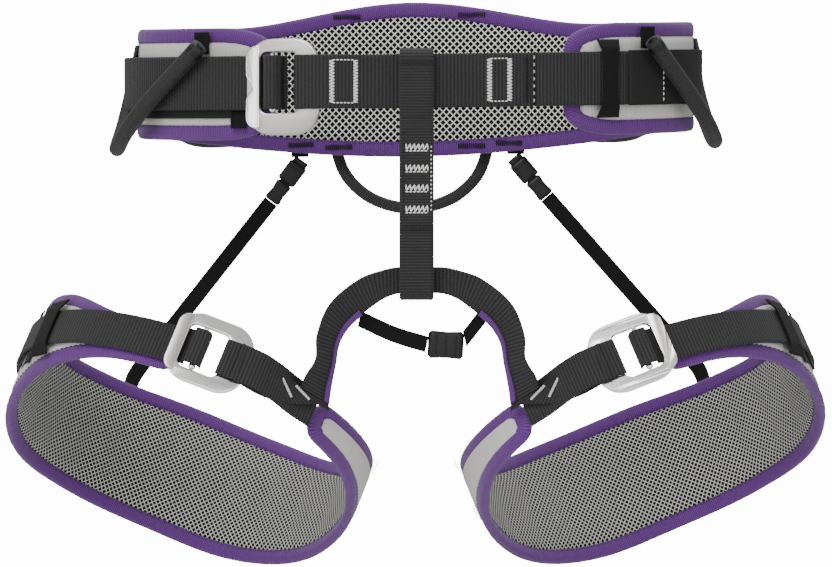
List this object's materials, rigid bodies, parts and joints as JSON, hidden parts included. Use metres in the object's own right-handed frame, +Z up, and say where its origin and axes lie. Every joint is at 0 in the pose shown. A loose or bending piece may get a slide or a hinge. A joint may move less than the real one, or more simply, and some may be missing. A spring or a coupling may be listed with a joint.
{
  "type": "climbing harness",
  "caption": "Climbing sit harness: padded waist belt with metal strap buckle, belay loop, adjustable padded leg loops, gear loops and elastic rear risers.",
  "frame": {"origin": "centre of the waist opening, at the middle of the belt height, where the wearer stands inside the belt", "axes": "+Z up along the wearer, -Y towards the front (belay loop and buckles), +X to the wearer's left side as worn; left in node names means the side at -X"},
  "size_m": [0.411, 0.2063, 0.289],
  "materials": {
    "lining_mesh": "open diamond air mesh, light grey threads over black",
    "foam": "closed-cell foam core",
    "shell_fabric": "light grey woven nylon with black panels",
    "binding": "purple edge binding tape, fine rib, stitched",
    "webbing": "charcoal ribbed polyamide webbing",
    "elastic": "black elastic tape",
    "loop_tube": "black moulded tube",
    "clip_plastic": "black moulded plastic",
    "buckle_metal": "satin silver, polished edges"
  },
  "bodies": {
    "waist": {"waist_lining": "lining_mesh", "waist_foam": "foam", "waist_outer_shell": "shell_fabric", "waist_binding": "binding", "waist_webbing": "webbing", "waist_strap_tail": "webbing", "tie_in_webbing": "webbing", "waist_keeper_left": "elastic", "waist_keeper_right": "elastic", "gear_tab_front_left": "elastic", "gear_tab_side_left": "elastic", "gear_tab_rear_left": "elastic", "gear_tab_front_right": "elastic", "gear_tab_side_right": "elastic", "gear_tab_rear_right": "elastic", "haul_tab_left": "elastic", "haul_tab_right": "elastic", "riser_tab_left": "elastic", "riser_socket_left": "clip_plastic", "riser_tab_right": "elastic", "riser_socket_right": "clip_plastic"},
    "left_leg": {"leg_lining_left": "lining_mesh", "leg_foam_left": "foam", "leg_outer_shell_left": "shell_fabric", "leg_binding_left": "binding", "leg_webbing_left": "webbing", "leg_adjuster_strap_left": "webbing", "leg_keeper_left": "elastic", "bridge_webbing_left": "webbing", "linker_strap_left": "elastic", "riser_strap_left": "elastic"},
    "left_leg_buckle": {"leg_buckle_frame_left": "buckle_metal", "leg_buckle_slider_left": "buckle_metal"},
    "left_riser_clip": {"riser_plug_left": "clip_plastic"},
    "gear_front_left": {"gear_loop_front_left": "loop_tube"},
    "gear_rear_left": {"gear_loop_rear_left": "loop_tube"},
    "right_leg": {"leg_lining_right": "lining_mesh", "leg_foam_right": "foam", "leg_outer_shell_right": "shell_fabric", "leg_binding_right": "binding", "leg_webbing_right": "webbing", "leg_adjuster_strap_right": "webbing", "leg_keeper_right": "elastic", "bridge_webbing_right": "webbing", "linker_strap_right": "elastic", "riser_strap_right": "elastic"},
    "right_leg_buckle": {"leg_buckle_frame_right": "buckle_metal", "leg_buckle_slider_right": "buckle_metal"},
    "right_riser_clip": {"riser_plug_right": "clip_plastic"},
    "gear_front_right": {"gear_loop_front_right": "loop_tube"},
    "gear_rear_right": {"gear_loop_rear_right": "loop_tube"},
    "haul": {"haul_loop": "loop_tube"},
    "belay": {"belay_loop": "webbing"},
    "waist_buckle": {"waist_buckle_frame": "buckle_metal", "waist_buckle_slider": "buckle_metal"},
    "crotch_slider": {"linker_slider": "clip_plastic"}
  },
  "joints": [
    {"name": "gear_loop_front_left_swing", "type": "hinge", "parent": "waist", "child": "gear_front_left", "pos_m": [-0.12391, -0.01855, 0.01629], "axis": [-0.3147, 0.9479, -0.0492], "range_deg": [0, 75]},
    {"name": "gear_loop_rear_left_swing", "type": "hinge", "parent": "waist", "child": "gear_rear_left", "pos_m": [-0.09904, 0.07008, 0.02081], "axis": [0.8447, 0.5339, 0.038], "range_deg": [0, 75]},
    {"name": "gear_loop_front_right_swing", "type": "hinge", "parent": "waist", "child": "gear_front_right", "pos_m": [0.12747, -0.01602, 0.0199], "axis": [-0.2678, -0.9623, 0.0468], "range_deg": [0, 75]},
    {"name": "gear_loop_rear_right_swing", "type": "hinge", "parent": "waist", "child": "gear_rear_right", "pos_m": [0.09904, 0.07008, 0.02357], "axis": [0.8452, -0.5342, -0.015], "range_deg": [0, 75]},
    {"name": "haul_loop_swing", "type": "hinge", "parent": "waist", "child": "haul", "pos_m": [0, 0.09551, -0.01688], "axis": [1, 0, 0], "range_deg": [0, 95]},
    {"name": "belay_loop_slide", "type": "slide", "parent": "waist", "child": "belay", "axis": [1, 0, 0], "range_m": [-0.003, 0.003]},
    {"name": "left_leg_swing", "type": "hinge", "parent": "waist", "child": "left_leg", "pos_m": [0, -0.0945, -0.0946], "axis": [1, 0, 0], "range_deg": [-20, 18], "stiffness_Nm_per_rad": 1.2, "deforming": ["riser_strap_left", "linker_strap_left"]},
    {"name": "right_leg_swing", "type": "hinge", "parent": "waist", "child": "right_leg", "pos_m": [0, -0.0945, -0.0946], "axis": [1, 0, 0], "range_deg": [-20, 18], "stiffness_Nm_per_rad": 1.2, "deforming": ["riser_strap_right", "linker_strap_right"]},
    {"name": "waist_buckle_tilt", "type": "hinge", "parent": "waist", "child": "waist_buckle", "pos_m": [-0.05689, -0.09072, -0.00137], "axis": [0.0025, -0.0008, 1], "range_deg": [0, 20], "deforming": ["waist_strap_tail"]},
    {"name": "left_leg_buckle_tilt", "type": "hinge", "parent": "left_leg", "child": "left_leg_buckle", "pos_m": [-0.09283, -0.1004, -0.13183], "axis": [0.3525, 0.3409, 0.8715], "range_deg": [0, 20], "deforming": ["leg_webbing_left"]},
    {"name": "right_leg_buckle_tilt", "type": "hinge", "parent": "right_leg", "child": "right_leg_buckle", "pos_m": [0.09283, -0.1004, -0.13183], "axis": [0.3525, -0.3409, -0.8715], "range_deg": [0, 20], "deforming": ["leg_webbing_right"]},
    {"name": "left_riser_release", "type": "slide", "parent": "waist", "child": "left_riser_clip", "axis": [-0.6007, 0.0423, -0.7983], "range_m": [0, 0.01], "deforming": ["riser_strap_left"]},
    {"name": "right_riser_release", "type": "slide", "parent": "waist", "child": "right_riser_clip", "axis": [0.6466, 0.013, -0.7627], "range_m": [0, 0.01], "deforming": ["riser_strap_right"]},
    {"name": "crotch_slider_slide", "type": "slide", "parent": "waist", "child": "crotch_slider", "axis": [1, 0, 0], "range_m": [-0.003, 0.003], "deforming": ["linker_strap_left", "linker_strap_right"]}
  ]
}
